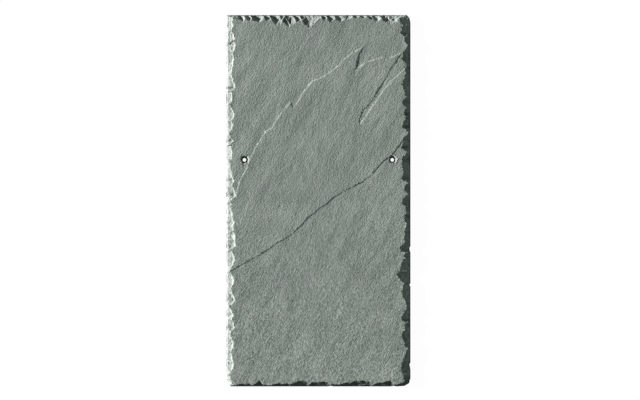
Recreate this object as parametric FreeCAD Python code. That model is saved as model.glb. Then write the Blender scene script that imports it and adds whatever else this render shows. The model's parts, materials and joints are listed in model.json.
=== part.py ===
import FreeCAD, Part
import os
from math import copysign, hypot

os.makedirs("parts", exist_ok=True)

# Natural roofing slate, in mm, lying on its back: +X to the right, +Y to the head, Z = 0 on its back.
# It is split from the block, so its two faces are flat, and its edges are dressed from the back: a
# clean cut at the bottom, a steep foot, and a bevel of chips that runs up to a ragged crest.
LENGTH = 500.0
WIDTH = 248.0
THICKNESS = 8.0
CUT_EDGE = 1.0          # height of the clean cut
FOOT = 4.0              # height of the steep foot's top

# Nail holes, punched from the back, so that each bursts open on the face.
HEADLAP = 100.0         # how far the slate two courses up covers this one
NAIL_CLEARANCE = 5.0    # from the hidden slate's head to the nail
HOLE_INSET = 24.5       # from a long side to a hole's axis
HOLE_R = 2.4
BORE_LENGTH = 3.0       # straight part of a hole, from the back
FUNNEL_R = 4.4
FUNNEL_DEPTH = 2.0      # from the face down to where the funnel is FUNNEL_R wide
CRATER_FROM = 0.75      # where the crater leaves the funnel: its share of the funnel's height
CRATER_CLEAR = 0.95     # share of the funnel's width that the crater has there

# Layers that split away from the face: thickness, and how far the broken edge slopes.
HEAD_LAYER = (0.32, 0.6)
TAIL_LAYER = (0.3, 0.3)
SPLINTER_LAYER = (0.32, 0.5)

# How an edge is chipped. The foot runs in this far, but over no more than FOOT_SHARE of a bevel. The
# scar above it is hollow: its middle is a share of the way in to the crest and a share of the way up.
# A tooth of the crest stands on a ridge and a bite in a flute, and the flutes may lean to the left,
# by so much for each mm of the bite.
SIDE_CHIPS = {"foot_run": 2.0, "way_in": 0.75, "way_up": 0.45, "flute": 1.0, "lean": 0.0}
HEAD_CHIPS = {"foot_run": 2.0, "way_in": 0.5, "way_up": 0.35, "flute": 1.0, "lean": 0.6}
TAIL_CHIPS = {"foot_run": 1.2, "way_in": 0.5, "way_up": 0.4, "flute": 0.4, "lean": 0.0}
FOOT_SHARE = 0.42
# For each mm that a tooth stands out of the line between its neighbours, times the flute above, the
# foot is this much higher and the middle of the scar this much fuller, within the ranges.
FOOT_RISE = 0.8
FOOT_RANGE = (1.6, 6.3)
SCAR_RISE = 0.09
SCAR_RANGE = (0.15, 0.85)

# The chips are drawn on a slate of this size. On another the strip by each edge keeps its shape and
# the rest stretches between them.
DRAWN_LENGTH = 500.0
DRAWN_WIDTH = 248.0
EDGE_STRIP = 20.0

# Each edge's crest: where along the edge, how far in from it the chip bites, and how far in the cut
# edge is nicked there, if it is. The edges follow each other anticlockwise.
RIGHT_CREST = [
    (-241, 7.5, 0.8), (-239.5, 10.4), (-233, 9.8), (-227.5, 12.6), (-220, 12, 1.3), (-218, 11.4),
    (-210, 7), (-205, 6.2), (-199, 4), (-194, 8), (-189, 9.5), (-184, 12), (-180, 12.5), (-173.5, 8),
    (-168, 8), (-163.5, 4), (-161.5, 12.3), (-157, 11.5), (-150.5, 7.5), (-146.5, 5.5), (-142, 5),
    (-136, 6.2), (-129.5, 9.5), (-126, 11), (-116, 10.8), (-113, 9.8, 1.3), (-111, 9), (-108.5, 12.5),
    (-101.5, 18), (-98.5, 18.7), (-95, 15), (-91, 14), (-85, 12), (-77.5, 7.5), (-75, 9), (-69.5, 9),
    (-67, 13.5, 0.9), (-64, 14, 1.4), (-61, 12), (-55.5, 7.5), (-52, 8.8), (-47, 8), (-42, 8.2),
    (-38, 7), (-30.5, 6), (-25, 8.5), (-20, 8.2), (-16.5, 4), (-10, 6.5), (-7, 5.4), (-5.5, 10),
    (-3, 12), (0, 11.5), (6, 5.5), (9.5, 4), (15, 8), (18.5, 8), (20.5, 6), (23.5, 4.5), (27.5, 10.5),
    (29, 13.9), (32.5, 12), (36, 10), (39, 10), (47, 11.5), (56, 12), (62, 7), (64.7, 4.5), (69.5, 10),
    (71.5, 13), (77, 10.5), (83, 9.5), (88.5, 4.5), (91.5, 3), (97, 8), (98.8, 11.5), (106, 9),
    (108.7, 6.7), (111, 7.5), (113, 5.7), (116.5, 9.3), (122, 6.5), (125.3, 4.5), (130.5, 10),
    (133.5, 11), (137.5, 7), (140, 4.7), (144.7, 7.5), (152.5, 9.5), (155.5, 11), (163.5, 8.5),
    (171, 5.5), (178.5, 7.5), (181, 5.2), (184, 5.5), (187.5, 9), (190, 11), (198.5, 10), (201.5, 7.5),
    (206.5, 4.5), (209.5, 3.6), (215.5, 7.5), (221, 9), (223, 14.5), (226, 13.5), (236, 11), (240, 13),
]
HEAD_CREST = [
    (105, 10), (99, 11.5), (95.5, 14), (91, 10.5), (87, 7.5), (80, 9), (75, 7), (72, 7), (66, 3.5),
    (61, 5), (56, 3), (51, 5), (47, 3), (43, 6), (36, 7.5), (31, 9.7), (25, 7.5), (17.5, 10), (13, 6),
    (9, 7.7), (5, 4.5), (-2, 10), (-8, 15.5), (-12.5, 19), (-15.5, 15), (-19, 12), (-24.5, 13),
    (-29, 9.5), (-31, 11.3), (-35, 16.2), (-37.5, 14.5), (-39, 17), (-42, 16), (-45.5, 10.5),
    (-48, 11.5), (-53, 15.3), (-57, 13.5), (-61, 9), (-68, 8), (-72, 4), (-78, 10.5), (-86, 9),
    (-88.5, 6), (-90, 10), (-92, 9.5), (-97, 6.5), (-101, 9.3), (-107, 6),
]
LEFT_CREST = [
    (241, 8.5), (235, 9), (228.5, 7.8), (222, 11), (218.5, 11.7), (215.4, 10.2), (209.5, 13),
    (203, 11), (200, 9), (190, 10.7), (182.5, 9.5), (176.5, 8), (170, 6.5), (163, 9), (154.5, 12.5),
    (151, 14), (149.5, 10.5), (147.5, 7), (145, 8), (135.5, 8), (130.5, 4), (124.5, 8), (117.5, 11.2),
    (114.5, 11.3), (107.5, 7.5), (103, 9), (99, 8.5), (92, 4.5), (84.5, 7), (80, 10.3), (77, 5.5),
    (75, 4), (73.5, 6.5), (65, 8.2), (56.5, 7.5), (54, 4.5), (46, 5), (37, 7), (30.5, 9.5), (27, 11.5),
    (23.5, 9), (20, 8.7), (12.5, 12), (7, 14), (4, 10), (0.5, 5.5), (-1.5, 5), (-4.5, 7.5),
    (-7.5, 5.5), (-18, 8.7), (-21.5, 8), (-30, 10.7), (-35, 9), (-38.5, 10.5), (-41, 9), (-46.5, 12),
    (-53, 12), (-61, 13.3), (-64, 8), (-65.5, 4.5), (-70, 8.5), (-76.5, 11.3), (-80, 11.7), (-86, 9),
    (-91, 6), (-96, 4.5), (-101, 8), (-107, 10.5), (-112, 9.5), (-117, 6), (-123, 7.5), (-129, 11),
    (-134, 12.5), (-138, 8), (-141, 4.5), (-147, 6.5), (-154, 9.5), (-161, 8), (-166, 10.5),
    (-171, 12), (-175, 7.5), (-179, 5), (-185, 7), (-192, 10), (-198, 8.5), (-203, 6), (-209, 8),
    (-217, 9.5), (-219.5, 10.5), (-226, 8.5), (-232, 4.5), (-234, 3.2), (-236.5, 4.5), (-240, 5.5, 0.4),
    (-242, 6.5, 2.0),
]
TAIL_CREST = [
    (-108, 2.5), (-102, 4), (-97, 3), (-93, 4.5), (-89, 2), (-83, 4.5), (-78.5, 8), (-73, 2),
    (-71, 3.5), (-69, 1.8), (-63, 2.2), (-57, 4.5), (-51, 5), (-49.5, 3.5), (-42, 4.5), (-38, 3),
    (-31, 5.5), (-25.5, 7.7), (-15.5, 7.2), (-12, 4), (-8, 6.3), (0, 6), (8, 7.2), (12, 6),
    (17, 2, 0.8), (20, 3.5), (28, 3), (34, 5), (40, 6.3), (42.5, 5), (48.5, 8.3), (62, 8.5), (69, 7),
    (74, 3), (80, 5), (91, 6.5), (97, 8.5), (102, 2.4, 0.7), (106, 3.2),
]
# Corners: a point of the crest, and the point of the cut edge below it.
HEAD_RIGHT = [((110, 243), (122.6, 246)), ((108.5, 246), (119, 250))]
HEAD_LEFT = [((-114.5, 246), (-124, 250))]
TAIL_LEFT = [((-116.5, -246.5), (-120.8, -247.5)), ((-114, -247.8), (-118, -250))]
TAIL_RIGHT = [((111.5, -245.5), (116, -249.3)), ((113.5, -244.3), (122.3, -245.5))]

# The step between the top layer and the face that lies open towards the head, from left to right.
HEAD_STEP = [
    (-124, 2), (-111, 9), (-107, 26), (-98, 41), (-92, 55), (-85, 72), (-76, 85), (-71, 94), (-63, 98),
    (-57, 108.5), (-45, 125), (-37.5, 132.5), (-34, 125), (-29.5, 130), (-26.5, 136), (-21, 145.5),
    (-15, 153), (-8, 161.5), (1.5, 164.5), (12.5, 171), (28, 183), (40, 195.5), (47, 200),
    (60, 206.5), (55.5, 198), (50.3, 176.3), (62.5, 186), (74.5, 190), (90, 194), (95, 191.5),
    (108, 197.5), (124, 203),
]
# The same towards the tail.
TAIL_STEP = [
    (-124, -98), (-113, -92), (-96, -82), (-79.5, -73), (-64, -63.5), (-55, -56), (-45, -51.5),
    (-35.5, -45), (-21, -31), (-15, -23.5), (-4.5, -15.5), (3, -9), (11, -4.5), (16.5, 1.5), (32, 11.5),
    (59, 25), (67.5, 32), (75, 39), (88, 53.5), (98.5, 61), (108, 73), (113, 80), (124, 92),
]
# The splinter that left the face beside the right edge.
SPLINTER = [
    (124, 218), (110.5, 196), (98.5, 179), (86.5, 157.5), (67.5, 129), (60.5, 122), (55.5, 110),
    (55.5, 103), (62.5, 112), (72, 125.5), (81.5, 139.5), (86.5, 148), (98.5, 161.5), (107, 169.5),
    (124, 185),
]
# Craters where a hole burst open, measured from its axis.
LEFT_CRATER = [
    (6.8, -2.5), (8, 2.5), (6.8, 8), (2.5, 6), (-0.5, 6.5), (-4.7, 5), (-5.7, 0.5), (-4, -4.5),
    (-2.3, -7.8), (1.5, -5), (5, -7.5),
]
RIGHT_CRATER = [
    (6, -2), (8.5, 1), (6, 3.5), (3.5, 6.5), (-1.5, 7.5), (-3.5, 6), (-4.8, 1.5), (-3.5, -3.5), (0, -5),
    (4.5, -4.7),
]

CLEAR = 1.0             # how far a cutter reaches past what it cuts


def stretch(place, drawn, real):
    """Where a point of the drawn slate goes along one axis of the real one."""
    middle = drawn / 2 - EDGE_STRIP
    if abs(place) > middle:
        return place + copysign(1, place) * (real - drawn) / 2
    return place * (real / 2 - EDGE_STRIP) / middle


def drawn(x, y):
    return stretch(x, DRAWN_WIDTH, WIDTH), stretch(y, DRAWN_LENGTH, LENGTH)


def on_right(place, inset):
    return DRAWN_WIDTH / 2 - inset, place


def on_left(place, inset):
    return inset - DRAWN_WIDTH / 2, place


def on_head(place, inset):
    return place, DRAWN_LENGTH / 2 - inset


def on_tail(place, inset):
    return place, inset - DRAWN_LENGTH / 2


def between(start, end, share):
    return start[0] + (end[0] - start[0]) * share, start[1] + (end[1] - start[1]) * share


def within(value, limits):
    return min(max(value, limits[0]), limits[1])


def profile(crest, cut, chips, stand=0.0):
    """The bevel's points over one point of the cut edge, from the back up to the crest."""
    crest = drawn(*crest)
    cut = drawn(*cut)
    wide = hypot(crest[0] - cut[0], crest[1] - cut[1])
    foot = between(cut, crest, min(chips["foot_run"] / wide, FOOT_SHARE))
    middle = between(foot, crest, chips["way_in"])
    raised = chips["flute"] * stand
    foot_z = within(FOOT + FOOT_RISE * raised, FOOT_RANGE)
    way_up = within(chips["way_up"] + SCAR_RISE * raised, SCAR_RANGE)
    middle_z = foot_z + (THICKNESS - foot_z) * way_up
    return (*cut, 0.0), (*cut, CUT_EDGE), (*foot, foot_z), (*middle, middle_z), (*crest, THICKNESS)


def stands_out(before, station, after):
    """How far a station of the crest is outside the line between its neighbours."""
    share = (station[0] - before[0]) / (after[0] - before[0])
    return before[1] + (after[1] - before[1]) * share - station[1]


def bevel(stations, spot, chips):
    """The profiles at all the stations of an edge."""
    earlier = stations[:1] + stations[:-1]
    later = stations[1:] + stations[-1:]
    profiles = []
    for before, station, after in zip(earlier, stations, later):
        place, bite, *nick = station
        cut = spot(place - chips["lean"] * bite, sum(nick))
        stand = stands_out(before, station, after)
        profiles.append(profile(spot(place, bite), cut, chips, stand))
    return profiles


def at_height(points, z):
    return [(x, y, z) for x, y in points]


def flat_face(points):
    return Part.Face(Part.makePolygon([FreeCAD.Vector(*point) for point in points + points[:1]]))


def facets_between(lower, upper):
    """Flat facets between two loops that go round together, over the shorter diagonal each time."""
    facets = []
    low = high = 0
    while low < len(lower) or high < len(upper):
        corner = FreeCAD.Vector(*lower[low % len(lower)])
        top = FreeCAD.Vector(*upper[high % len(upper)])
        next_corner = FreeCAD.Vector(*lower[(low + 1) % len(lower)])
        next_top = FreeCAD.Vector(*upper[(high + 1) % len(upper)])
        along_lower = next_corner.distanceToPoint(top) < corner.distanceToPoint(next_top)
        if high == len(upper) or (low < len(lower) and along_lower):
            points = [corner, next_corner, top, corner]
            low += 1
        else:
            points = [corner, next_top, top, corner]
            high += 1
        facets.append(Part.Face(Part.makePolygon(points)))
    return facets


def faceted_solid(loops):
    """A solid of flat facets through loops of points, from its flat bottom to its flat top."""
    faces = [flat_face(loops[0]), flat_face(loops[-1])]
    for lower, upper in zip(loops, loops[1:]):
        faces += facets_between(lower, upper)
    solid = Part.makeSolid(Part.makeShell(faces))
    if solid.Volume < 0:
        solid.reverse()
    return solid


def dressed_slate():
    profiles = bevel(RIGHT_CREST, on_right, SIDE_CHIPS)
    profiles += [profile(crest, cut, SIDE_CHIPS) for crest, cut in HEAD_RIGHT]
    profiles += bevel(HEAD_CREST, on_head, HEAD_CHIPS)
    profiles += [profile(crest, cut, SIDE_CHIPS) for crest, cut in HEAD_LEFT]
    profiles += bevel(LEFT_CREST, on_left, SIDE_CHIPS)
    profiles += [profile(crest, cut, SIDE_CHIPS) for crest, cut in TAIL_LEFT]
    profiles += bevel(TAIL_CREST, on_tail, TAIL_CHIPS)
    profiles += [profile(crest, cut, TAIL_CHIPS) for crest, cut in TAIL_RIGHT]
    return faceted_solid([list(loop) for loop in zip(*profiles)])


def widened(outline, distance):
    """An anticlockwise outline with each corner moved out by a distance, square to the outline."""
    wider = []
    for before, corner, after in zip(outline[-1:] + outline, outline, outline[1:] + outline[:1]):
        into = FreeCAD.Vector(corner[0] - before[0], corner[1] - before[1], 0).normalize()
        out_of = FreeCAD.Vector(after[0] - corner[0], after[1] - corner[1], 0).normalize()
        across = (into + out_of).normalize()
        wider.append((corner[0] + across.y * distance, corner[1] - across.x * distance))
    return wider


def lost_layer(outline, layer):
    """What is missing from the face inside an outline, with sloping sides."""
    depth, run = layer
    wider = widened(outline, run)
    return faceted_solid([
        at_height(outline, THICKNESS - depth),
        at_height(wider, THICKNESS),
        at_height(wider, THICKNESS + CLEAR),
    ])


def lost_layers():
    """The layers that split away: towards the head, towards the tail, and the splinter."""
    side = WIDTH / 2 + CLEAR
    end = LENGTH / 2 + CLEAR
    head_area = [drawn(*point) for point in HEAD_STEP] + [(side, end), (-side, end)]
    tail_area = [(-side, -end), (side, -end)] + [drawn(*point) for point in reversed(TAIL_STEP)]
    splinter = [drawn(*point) for point in SPLINTER]
    return [
        lost_layer(head_area, HEAD_LAYER),
        lost_layer(tail_area, TAIL_LAYER),
        lost_layer(splinter, SPLINTER_LAYER),
    ]


def nail_hole(x, y, crater):
    """A punched hole: straight from the back, then a funnel, then the crater on the face."""
    bore = Part.makeCylinder(HOLE_R, BORE_LENGTH + CLEAR, FreeCAD.Vector(x, y, -CLEAR))
    funnel_height = THICKNESS - FUNNEL_DEPTH - BORE_LENGTH
    funnel = Part.makeCone(HOLE_R, FUNNEL_R, funnel_height, FreeCAD.Vector(x, y, BORE_LENGTH))
    throat_z = BORE_LENGTH + funnel_height * CRATER_FROM
    throat_r = CRATER_CLEAR * (HOLE_R + (FUNNEL_R - HOLE_R) * CRATER_FROM)
    throat = []
    mouth = []
    for dx, dy in crater:
        reach = hypot(dx, dy)
        throat.append((x + dx * throat_r / reach, y + dy * throat_r / reach))
        mouth.append((x + dx, y + dy))
    crater_solid = faceted_solid([
        at_height(throat, throat_z),
        at_height(mouth, THICKNESS),
        at_height(mouth, THICKNESS + CLEAR),
    ])
    return [bore, funnel, crater_solid]


hole_y = -LENGTH / 2 + (LENGTH - HEADLAP) / 2 + HEADLAP + NAIL_CLEARANCE
hole_x = WIDTH / 2 - HOLE_INSET

cutters = lost_layers()
cutters += nail_hole(-hole_x, hole_y, LEFT_CRATER)
cutters += nail_hole(hole_x, hole_y, RIGHT_CRATER)

slate = dressed_slate()
for cutter in cutters:
    slate = slate.cut(cutter)
slate = slate.Solids[0]
print("roof_slate valid", slate.isValid(), "volume cm3", round(slate.Volume / 1000, 1))
slate.exportStep("parts/roof_slate.step")
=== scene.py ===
import json
import math

import bmesh
import bpy
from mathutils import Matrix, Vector, noise


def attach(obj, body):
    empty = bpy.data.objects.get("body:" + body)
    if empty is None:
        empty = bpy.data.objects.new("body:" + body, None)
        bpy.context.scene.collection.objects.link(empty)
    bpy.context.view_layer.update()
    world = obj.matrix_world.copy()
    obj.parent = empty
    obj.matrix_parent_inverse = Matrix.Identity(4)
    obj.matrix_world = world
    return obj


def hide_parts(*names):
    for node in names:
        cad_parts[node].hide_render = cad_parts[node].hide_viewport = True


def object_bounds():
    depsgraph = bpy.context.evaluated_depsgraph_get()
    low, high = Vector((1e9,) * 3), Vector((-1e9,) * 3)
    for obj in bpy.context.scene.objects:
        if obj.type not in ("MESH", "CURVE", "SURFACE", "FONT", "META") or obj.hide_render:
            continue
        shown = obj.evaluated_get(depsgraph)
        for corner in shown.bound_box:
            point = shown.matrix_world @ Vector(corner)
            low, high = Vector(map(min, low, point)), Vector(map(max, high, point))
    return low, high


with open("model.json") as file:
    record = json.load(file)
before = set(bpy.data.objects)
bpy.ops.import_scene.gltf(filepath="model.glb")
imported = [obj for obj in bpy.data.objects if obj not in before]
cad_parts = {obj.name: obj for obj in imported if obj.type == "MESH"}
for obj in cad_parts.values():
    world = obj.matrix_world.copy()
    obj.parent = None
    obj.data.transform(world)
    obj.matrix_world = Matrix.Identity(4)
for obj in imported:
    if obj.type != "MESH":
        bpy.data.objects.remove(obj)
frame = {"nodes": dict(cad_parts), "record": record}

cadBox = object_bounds()
mm = 0.001

# The slate's surfaces. Each is sliced and roughened in its own way.
face, brokenStep, bevel, cutEdge, back, nailHole = range(6)

slate = {
    "node": "roof_slate",
    "weld": 0.001 * mm,
    "flatWithin": math.radians(0.3),
    "sharpFrom": math.radians(32),

    # where each surface lies
    "faceDepth": 1 * mm,        # the face and its broken layers lie within this of the top
    "sole": 0.1 * mm,           # what is this near the back, or the top, is level with it
    "cutEdgeTop": 1.1 * mm,
    "holeReach": 10.8 * mm,     # farthest that a nail hole's crater goes from its axis

    # cuts that make the mesh fine
    "slice": 0.7 * mm,
    "faceEvery": 3,             # the face is cut at every third of them
    "backEvery": 8,

    # relief of the face, from the widest to the finest; a grain span is along and across, in mm
    "grainTurn": math.radians(60),
    "faceShare": 0.98,          # the rest of the face would stand proud, and is level with the top
    "swell": 0.25 * mm,
    "swellSpan": (62 * mm, 84 * mm),
    "flake": 0.14 * mm,
    "flakeSpan": (46, 17),
    "flakeLevels": 3,
    "ripple": 0.12 * mm,
    "rippleSpan": (11, 4.3),
    "backSwell": 0.25 * mm,
    "backSpan": (40, 18),

    # broken stone on the bevel, between the cut edge and the crest
    "scarRound": 1,             # passes that round the chips' scars
    "scarLump": 0.6 * mm,
    "lumpSpan": 3.4,            # in mm
    "scarGrit": 0.3 * mm,
    "gritSpan": 1.1,            # in mm
    "lamina": 0.9 * mm,         # thickness of the layers that show on the bevel
    "laminaWander": 1.6,        # how far a layer wanders up and down, in layers
    "laminaSpan": 17 * mm,
    "laminaPatch": 23 * mm,     # size of the patches where the layers are strong or faint
    "scarLowest": 0.6 * mm,
    "underFace": 0.2 * mm,

    # crests, step lines and the cut edge
    "edgeNibble": 0.45 * mm,
    "crestSpan": 2.3 * mm,
    "cutEdgeSpan": 2.6 * mm,
    "cutEdgeWave": 3.1 * mm,
    "stepHeal": 0.8,            # most that a broken step loses of its height along its line
    "healSpan": 11 * mm,

    # painted shade, as the share of the stone's colour that is lost
    "throatDepth": 1.9 * mm,    # shade is painted in a nail hole from this far down
    "throatPaintedShade": 0.96,
    "rimTop": 3.0 * mm,         # shade is painted on the foot of the dressed edges, but for the lit left edge
    "rimFade": 1.2 * mm,
    "rimPaintedShade": 0.5,
    "litLeftEdge": 14 * mm,       # width of the lit left edge, which gets no painted shade
    "tailEdge": 9 * mm,         # shade is painted on the tail's chips from top to foot
    "tailPaintedShade": 0.62,
}


def nearest(place, holes):
    return min(holes, key=lambda hole: (place - hole).length)


def zoneOf(cadFace, holes, sizes):
    heights = [v.co.z for v in cadFace.verts]
    nearTop = min(heights) > cadBox[1].z - sizes["faceDepth"]
    flat = abs(cadFace.normal.z) > 0.99
    upright = abs(cadFace.normal.z) < 0.1
    fromHole = max((v.co.xy - nearest(v.co.xy, holes)).length for v in cadFace.verts)
    if flat and max(heights) < sizes["sole"]:
        return back
    if flat and nearTop:
        return face
    if fromHole < sizes["holeReach"]:
        return nailHole
    if nearTop:
        return brokenStep
    if upright and max(heights) < sizes["cutEdgeTop"]:
        return cutEdge
    return bevel


def reach(someFace, axis):
    places = [v.co[axis] for v in someFace.verts]
    return min(places), max(places)


def sliceAcross(bm, zone, axis, sizes):
    # Planes square to an axis sweep over the slate, and each cuts only the faces it crosses.
    every = {face: sizes["faceEvery"], back: sizes["backEvery"]}
    across = Vector([1.0 if i == axis else 0.0 for i in range(3)])
    low, high = cadBox[0][axis], cadBox[1][axis]
    count = round((high - low) / sizes["slice"])
    waiting = sorted(bm.faces, key=lambda f: reach(f, axis)[0], reverse=True)
    live = []
    for cut in range(1, count):
        at = low + (high - low) * cut / count
        while waiting and reach(waiting[-1], axis)[0] < at:
            live.append(waiting.pop())
        live = [f for f in live if reach(f, axis)[1] > at + sizes["weld"]]
        crossed = [f for f in live if cut % every.get(f[zone], 1) == 0]
        live = [f for f in live if cut % every.get(f[zone], 1)]
        edges = {e for f in crossed for e in f.edges}
        verts = {v for f in crossed for v in f.verts}
        made = bmesh.ops.bisect_plane(bm, geom=list(verts) + list(edges) + crossed, dist=sizes["weld"],
                                      plane_co=across * at, plane_no=across)
        live += [g for g in made["geom"] if isinstance(g, bmesh.types.BMFace)]


def cutSlate(cadNode, holes, sizes):
    bm = bmesh.new()
    bm.from_mesh(cadNode.data)
    bmesh.ops.remove_doubles(bm, verts=bm.verts, dist=sizes["weld"])
    bmesh.ops.dissolve_limit(bm, angle_limit=sizes["flatWithin"], verts=bm.verts, edges=bm.edges)
    bm.normal_update()
    zone = bm.faces.layers.int.new("zone")
    for f in bm.faces:
        f[zone] = zoneOf(f, holes, sizes)
    print("slate: cad faces", len(bm.faces), [sum(f[zone] == k for f in bm.faces) for k in range(6)])
    sliceAcross(bm, zone, 1, sizes)
    sliceAcross(bm, zone, 0, sizes)
    print("slate: sliced into", len(bm.faces), "faces")
    return bm, zone


def clamped(value, low=0.0, high=1.0):
    return min(high, max(low, value))


def along(place, turn):
    # Turns a place on the face to run along and across the grain, in mm.
    x, y = place.x / mm, place.y / mm
    return x * math.cos(turn) + y * math.sin(turn), y * math.cos(turn) - x * math.sin(turn)


def terrace(value):
    # Whole steps, with a short slope from each to the next.
    step = math.floor(value)
    return step + clamped((value - step - 0.5) * 6 + 0.5)


def faceRelief(place, sizes):
    u, w = along(place, sizes["grainTurn"])
    swellU, swellW = sizes["swellSpan"]
    flakeU, flakeW = sizes["flakeSpan"]
    rippleU, rippleW = sizes["rippleSpan"]
    swell = noise.noise(Vector((place.x / swellU, place.y / swellW, 3.1)))
    flakes = noise.fractal(Vector((u / flakeU, w / flakeW, 8.4)), 1.0, 2.1, 3)
    ripple = noise.fractal(Vector((u / rippleU, w / rippleW, 1.7)), 0.9, 2.0, 2)
    levels = terrace(flakes * sizes["flakeLevels"])
    return swell * sizes["swell"] + levels * sizes["flake"] + ripple * sizes["ripple"]


def scarRelief(place, sizes):
    # Lumps and grit of a broken surface, along its normal.
    p = place / mm
    lump = noise.fractal(p / sizes["lumpSpan"], 1.0, 2.0, 2)
    grit = noise.fractal(p / sizes["gritSpan"], 0.8, 2.0, 2)
    return lump * sizes["scarLump"] + (grit - 0.5) * sizes["scarGrit"]


def laminate(place, sizes):
    # Height of a broken point after the scar is stepped along the slate's layers.
    span, patch = sizes["laminaSpan"], sizes["laminaPatch"]
    wander = noise.fractal(Vector((place.x / span, place.y / span, 5.5)), 1.0, 2.0, 2)
    strength = clamped(0.55 + 1.2 * noise.noise(Vector((place.x / patch, place.y / patch, 9.0))))
    layer = place.z / sizes["lamina"] + sizes["laminaWander"] * wander
    rest = layer - math.floor(layer)
    eased = rest * rest * (3 - 2 * rest)
    eased = eased * eased * (3 - 2 * eased)
    return place.z + (eased - rest) * strength * sizes["lamina"]


def placeOnScar(v, sizes):
    place = v.co + v.normal * scarRelief(v.co, sizes)
    place.z = clamped(laminate(place, sizes), sizes["scarLowest"], cadBox[1].z - sizes["underFace"])
    return place


def placeOnFace(v, relief, has, sizes):
    place = v.co.copy()
    place.z += relief
    top = cadBox[1].z
    if brokenStep in has and v.co.z < top - sizes["sole"]:
        uneven = noise.noise(v.co / sizes["healSpan"] + Vector((3, 8, 1)))
        place.z += clamped(2.2 * uneven, high=sizes["stepHeal"]) * (top - v.co.z)
    if len(has) > 1:
        place.x += sizes["edgeNibble"] * noise.noise(v.co / sizes["crestSpan"] + Vector((7, 1, 2)))
        place.y += sizes["edgeNibble"] * noise.noise(v.co / sizes["crestSpan"] + Vector((1, 9, 5)))
    return place


def placeOnCutEdge(v, sizes):
    inward = -Vector((v.normal.x, v.normal.y, 0))
    bite = abs(noise.fractal(v.co / sizes["cutEdgeSpan"], 1.0, 2.0, 2))
    place = v.co + inward * sizes["edgeNibble"] * bite
    place.z += sizes["edgeNibble"] * noise.noise(v.co / sizes["cutEdgeWave"])
    return place


def placeOnBack(v, sizes):
    u, w = along(v.co, sizes["grainTurn"])
    backU, backW = sizes["backSpan"]
    hollow = abs(noise.fractal(Vector((u / backU, w / backW, 2.2)), 1.0, 2.0, 3))
    return v.co + Vector((0, 0, sizes["backSwell"] * hollow))


def roughenSlate(bm, zone, sizes):
    bm.normal_update()
    kinds = {v: {f[zone] for f in v.link_faces} for v in bm.verts}
    inScar = [v for v in bm.verts if kinds[v] == {bevel}]
    for turn in range(sizes["scarRound"]):
        bmesh.ops.smooth_vert(bm, verts=inScar, factor=0.5, use_axis_x=True, use_axis_y=True, use_axis_z=True)
    bm.normal_update()
    reliefs = {v: faceRelief(v.co, sizes) for v in bm.verts if kinds[v] & {face, brokenStep}}
    heights = sorted(reliefs.values())
    top = heights[round(sizes["faceShare"] * (len(heights) - 1))]
    moved = {}
    for v in bm.verts:
        has = kinds[v]
        if has == {bevel}:
            moved[v] = placeOnScar(v, sizes)
        elif has & {face, brokenStep}:
            moved[v] = placeOnFace(v, reliefs[v] - top, has, sizes)
        elif cutEdge in has and v.co.z > sizes["sole"]:
            moved[v] = placeOnCutEdge(v, sizes)
        elif has == {back}:
            moved[v] = placeOnBack(v, sizes)
    for v, place in moved.items():
        v.co = place
    keepInBox(bm)
    print("slate: roughened", len(moved), "points")


def keepInBox(bm):
    low, high = cadBox
    for v in bm.verts:
        for i in range(3):
            v.co[i] = clamped(v.co[i], low[i], high[i])


# Painted shade: the share of colour taken off nail-hole throats, the dressed edges' foot and the tail's
# chips.
def paintedShadeAt(polygon, zone, sizes):
    middle = polygon.center
    if zone == nailHole:
        # painted shade deep in the nail hole
        return sizes["throatPaintedShade"] if middle.z < cadBox[1].z - sizes["throatDepth"] else 0.0
    # no painted shade on the lit left edge; painted shade on the tail's chips and on the foot of the other
    # edges
    if zone not in (bevel, cutEdge) or middle.x < cadBox[0].x + sizes["litLeftEdge"]:
        return 0.0
    if middle.y < cadBox[0].y + sizes["tailEdge"]:
        return sizes["tailPaintedShade"]
    return sizes["rimPaintedShade"] * clamped((sizes["rimTop"] - middle.z) / sizes["rimFade"])


def cornerValues(mesh, name, valueOf):
    layer = mesh.attributes.new(name, "FLOAT", "CORNER")
    values = []
    for polygon in mesh.polygons:
        values += [valueOf(polygon)] * polygon.loop_total
    layer.data.foreach_set("value", values)


def makeSlate(sizes):
    cadNode = frame["nodes"][sizes["node"]]
    holes = [Vector(m["pos_m"][:2]) for m in frame["record"]["mounts"] if m["kind"] == "bore"]
    bm, zone = cutSlate(cadNode, holes, sizes)
    roughenSlate(bm, zone, sizes)
    bmesh.ops.triangulate(bm, faces=[f for f in bm.faces if len(f.verts) > 4])
    print("slate: triangles", sum(len(f.verts) - 2 for f in bm.faces))
    mesh = bpy.data.meshes.new("roofSlate")
    bm.to_mesh(mesh)
    zones = [f[zone] for f in bm.faces]
    bm.free()
    brokenZones = (brokenStep, bevel, cutEdge, nailHole)
    cornerValues(mesh, "broken", lambda p: float(zones[p.index] in brokenZones))
    cornerValues(mesh, "paintedShade", lambda p: paintedShadeAt(p, zones[p.index], sizes))
    mesh.polygons.foreach_set("use_smooth", [True] * len(mesh.polygons))
    mesh.set_sharp_from_angle(angle=sizes["sharpFrom"])
    piece = bpy.data.objects.new("roofSlate", mesh)
    bpy.context.scene.collection.objects.link(piece)
    piece.data.materials.append(makeStone(stone))
    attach(piece, "root")
    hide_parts(sizes["node"])


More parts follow.
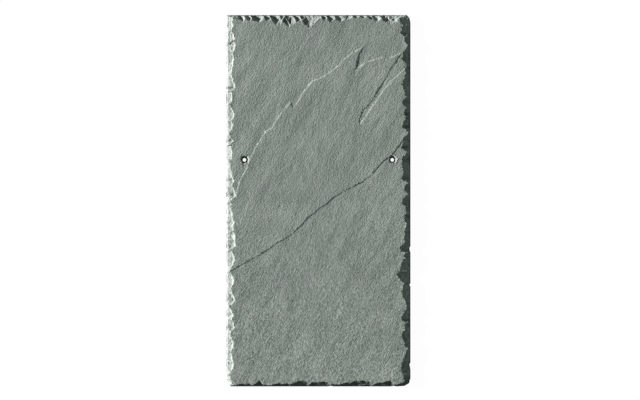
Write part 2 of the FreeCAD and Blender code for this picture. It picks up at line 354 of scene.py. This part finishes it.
stone = {
    "green": (0.212, 0.248, 0.219, 1),
    "grey": (0.238, 0.249, 0.233, 1),
    "broken": (0.275, 0.292, 0.275, 1),     # fresh stone on the chipped edges
    "grainWay": (0.4, 0.3, math.radians(60)),   # tilted out of the face, so that it shows no flat planes
    "weatherSize": 60 * mm,
    "weatherStretch": 1.3,
    "weather": 0.09,
    "patchSize": 20 * mm,
    "patchStretch": 1.6,
    "patch": 0.06,
    "blotchSize": 3.0 * mm,     # coarser grain, which grows towards the tail
    "blotchStretch": 1.2,
    "blotch": 0.34,
    "blotchFrom": 60 * mm,
    "blotchFull": -150 * mm,
    "layerSize": (12 * mm, 12 * mm, 0.55 * mm),     # pale and dark layers on the broken edges
    "layers": 0.34,
    "flakeSize": 13 * mm,
    "flakeStretch": 2.6,
    "flakeSteps": 9.0,
    "flakeHeight": 0.5 * mm,
    "grainSize": 1.7 * mm,
    "grainStretch": 2.3,
    "grain": 0.10,
    "grainHeight": 0.9 * mm,
    "speckSize": 0.9 * mm,
    "speckStretch": 1.0,
    "speck": 0.07,
    "speckHeight": 0.25 * mm,
    "roughness": 0.84,
    "roughSpread": 0.08,
    "gloss": 0.06,              # how much of a plain dielectric's gloss the stone has
}


class Nodes:
    def __init__(self, owner):
        owner.use_nodes = True
        self.tree = owner.node_tree
        self.tree.nodes.clear()

    def add(self, kind, **settings):
        node = self.tree.nodes.new("ShaderNode" + kind)
        for key, value in settings.items():
            setattr(node, key, value)
        return node

    def link(self, source, target):
        self.tree.links.new(source, target)

    def feed(self, value, socket):
        if isinstance(value, (float, tuple)):
            socket.default_value = value
        else:
            self.link(value, socket)

    def noiseAt(self, place, scale, detail, turn):
        mapping = self.add("Mapping", vector_type="TEXTURE")
        self.link(place, mapping.inputs["Vector"])
        mapping.inputs["Rotation"].default_value = turn
        mapping.inputs["Scale"].default_value = scale
        texture = self.add("TexNoise")
        self.link(mapping.outputs["Vector"], texture.inputs["Vector"])
        texture.inputs["Scale"].default_value = 1.0
        texture.inputs["Detail"].default_value = detail
        texture.inputs["Roughness"].default_value = 0.6
        return texture.outputs["Fac"]

    def ranged(self, value, fromLow, fromHigh, low, high):
        ramp = self.add("MapRange")
        self.link(value, ramp.inputs["Value"])
        ramp.inputs["From Min"].default_value = fromLow
        ramp.inputs["From Max"].default_value = fromHigh
        ramp.inputs["To Min"].default_value = low
        ramp.inputs["To Max"].default_value = high
        return ramp.outputs["Result"]

    def spread(self, value, low, high):
        # Noise keeps near its middle, so its usual range is stretched over the whole of the new one.
        return self.ranged(value, 0.3, 0.7, low, high)

    def combine(self, operation, a, b):
        node = self.add("Math", operation=operation)
        self.feed(a, node.inputs[0])
        self.feed(b, node.inputs[1])
        return node.outputs["Value"]

    def varied(self, shade, change):
        # Shade made lighter and darker by a change about zero.
        return self.combine("MULTIPLY", shade, self.combine("ADD", change, 1.0))

    def mixed(self, share, a, b):
        node = self.add("Mix", data_type="RGBA")
        self.link(share, node.inputs["Factor"])
        self.feed(a, node.inputs[6])
        self.feed(b, node.inputs[7])
        return node.outputs[2]


def stoneShade(nodes, look, place, broken, patterns):
    # Light and dark over the stone, as a factor on its colour.
    shade = nodes.spread(patterns["weather"], 1 - look["weather"], 1 + look["weather"])
    for name in ("patch", "grain", "speck"):
        spots = nodes.spread(patterns[name], 1 - look[name], 1 + look[name])
        shade = nodes.combine("MULTIPLY", shade, spots)
    axes = nodes.add("SeparateXYZ")
    nodes.link(place, axes.inputs["Vector"])
    tailward = nodes.ranged(axes.outputs["Y"], look["blotchFrom"], look["blotchFull"], 0, 1)
    blotches = nodes.spread(patterns["blotch"], -look["blotch"], look["blotch"])
    shade = nodes.varied(shade, nodes.combine("MULTIPLY", tailward, blotches))
    # Painted shade: the colour is darkened by this attribute's share.
    paintedShade = nodes.add("Attribute", attribute_name="paintedShade").outputs["Fac"]
    shade = nodes.combine("MULTIPLY", shade, nodes.combine("SUBTRACT", 1.0, paintedShade))
    layers = nodes.noiseAt(place, look["layerSize"], 2, (0, 0, 0))
    layered = nodes.combine("MULTIPLY", broken, nodes.spread(layers, -look["layers"], look["layers"]))
    return nodes.varied(shade, layered)


def stoneBump(nodes, look, patterns):
    steps = nodes.combine("MULTIPLY", patterns["flake"], look["flakeSteps"])
    steps = nodes.combine("DIVIDE", nodes.combine("ROUND", steps, 0.0), look["flakeSteps"])
    height = nodes.combine("MULTIPLY", steps, look["flakeHeight"])
    for name in ("grain", "speck"):
        raised = nodes.combine("MULTIPLY", patterns[name], look[name + "Height"])
        height = nodes.combine("ADD", height, raised)
    bump = nodes.add("Bump")
    bump.inputs["Strength"].default_value = 1.0
    bump.inputs["Distance"].default_value = 1.0
    nodes.link(height, bump.inputs["Height"])
    return bump.outputs["Normal"]


def makeStone(look):
    material = bpy.data.materials.new("rivenSlate")
    nodes = Nodes(material)
    place = nodes.add("TexCoord").outputs["Object"]
    patterns = {}
    details = {"weather": 2, "patch": 4, "blotch": 3, "flake": 4, "grain": 3, "speck": 2}
    for name, detail in details.items():
        size, stretch = look[name + "Size"], look[name + "Stretch"]
        patterns[name] = nodes.noiseAt(place, (size * stretch, size, size), detail, look["grainWay"])
    broken = nodes.add("Attribute", attribute_name="broken").outputs["Fac"]
    weathered = nodes.mixed(nodes.spread(patterns["patch"], 0, 1), look["green"], look["grey"])
    colour = nodes.add("VectorMath", operation="SCALE")
    nodes.link(nodes.mixed(broken, weathered, look["broken"]), colour.inputs[0])
    nodes.link(stoneShade(nodes, look, place, broken, patterns), colour.inputs["Scale"])
    smoothest, roughest = look["roughness"] - look["roughSpread"], look["roughness"] + look["roughSpread"]

    shader = nodes.add("BsdfPrincipled")
    nodes.link(colour.outputs["Vector"], shader.inputs["Base Color"])
    nodes.link(nodes.spread(patterns["grain"], smoothest, roughest), shader.inputs["Roughness"])
    nodes.link(stoneBump(nodes, look, patterns), shader.inputs["Normal"])
    shader.inputs["Specular IOR Level"].default_value = look["gloss"]
    output = nodes.add("OutputMaterial")
    nodes.link(shader.outputs["BSDF"], output.inputs["Surface"])
    print("stone: material made")
    return material


studio = {
    "floorRadius": 12.0,
    "floorDrop": 0.05 * mm,
    "floorColour": (0.04, 0.04, 0.04, 1),
    "floorGlow": 0.97,                  # the floor is white to the eye, and throws little light back
    "floorBounce": (0.2, 0.2, 0.2, 1),
    "keyHeading": math.radians(9),      # from the left, turned this far towards the head
    "keyHeight": math.radians(13.2),
    "keyStrength": 11.2,
    "keyWidth": math.radians(4),
    "skyColour": (0.86, 1.06, 0.98, 1),
    "skyStrength": 0.23,
    "backdrop": (1, 1, 1, 1),           # what shows beyond the floor
}


def showAndLight(nodes, shown, lighting, outputKind):
    # The eye sees one shader, and the slate is lit by the other.
    mix = nodes.add("MixShader")
    nodes.link(nodes.add("LightPath").outputs["Is Camera Ray"], mix.inputs["Fac"])
    nodes.link(lighting.outputs[0], mix.inputs[1])
    nodes.link(shown.outputs[0], mix.inputs[2])
    nodes.link(mix.outputs["Shader"], nodes.add(outputKind).inputs["Surface"])


def makeFloorMaterial(setup):
    material = bpy.data.materials.new("paleFloor")
    nodes = Nodes(material)
    shown = nodes.add("BsdfPrincipled")
    shown.inputs["Base Color"].default_value = setup["floorColour"]
    shown.inputs["Roughness"].default_value = 0.9
    shown.inputs["Specular IOR Level"].default_value = 0.0
    shown.inputs["Emission Color"].default_value = (1, 1, 1, 1)
    shown.inputs["Emission Strength"].default_value = setup["floorGlow"]
    lighting = nodes.add("BsdfDiffuse")
    lighting.inputs["Color"].default_value = setup["floorBounce"]
    showAndLight(nodes, shown, lighting, "OutputMaterial")
    return material


def makeFloor(setup):
    bm = bmesh.new()
    bmesh.ops.create_circle(bm, cap_ends=True, segments=96, radius=setup["floorRadius"])
    bmesh.ops.translate(bm, verts=bm.verts, vec=(0, 0, -setup["floorDrop"]))
    mesh = bpy.data.meshes.new("floor")
    bm.to_mesh(mesh)
    bm.free()
    floor = bpy.data.objects.new("floor", mesh)
    bpy.context.scene.collection.objects.link(floor)
    floor.data.materials.append(makeFloorMaterial(setup))
    print("studio: floor made")


def makeLight(setup):
    lamp = bpy.data.lights.new("key", "SUN")
    lamp.energy = setup["keyStrength"]
    lamp.angle = setup["keyWidth"]
    key = bpy.data.objects.new("key", lamp)
    flat = math.cos(setup["keyHeight"])
    heading = setup["keyHeading"]
    towards = Vector((-flat * math.cos(heading), flat * math.sin(heading), math.sin(setup["keyHeight"])))
    key.rotation_mode = "QUATERNION"
    key.rotation_quaternion = towards.to_track_quat("Z", "Y")
    bpy.context.scene.collection.objects.link(key)

    world = bpy.data.worlds.new("studio")
    nodes = Nodes(world)
    sky = nodes.add("Background")
    sky.inputs["Color"].default_value = setup["skyColour"]
    sky.inputs["Strength"].default_value = setup["skyStrength"]
    backdrop = nodes.add("Background")
    backdrop.inputs["Color"].default_value = setup["backdrop"]
    showAndLight(nodes, backdrop, sky, "OutputWorld")
    bpy.context.scene.world = world
    bpy.context.scene.view_settings.view_transform = "Standard"
    print("studio: light made")


framing = {
    "lens": 400.0,
    "sensor": 36.0,
    "width": 861.0 * mm,        # how much of the floor the picture is wide
    "centre": (2.2 * mm, 1.0 * mm),
}


def makeCamera(setup):
    data = bpy.data.cameras.new("camera")
    data.lens = setup["lens"]
    data.sensor_width = setup["sensor"]
    camera = bpy.data.objects.new("camera", data)
    distance = setup["width"] * setup["lens"] / setup["sensor"]
    camera.location = (*setup["centre"], cadBox[1].z + distance)
    bpy.context.scene.collection.objects.link(camera)
    bpy.context.scene.camera = camera
    print("camera: made")


makeSlate(slate)
makeFloor(studio)
makeLight(studio)
makeCamera(framing)
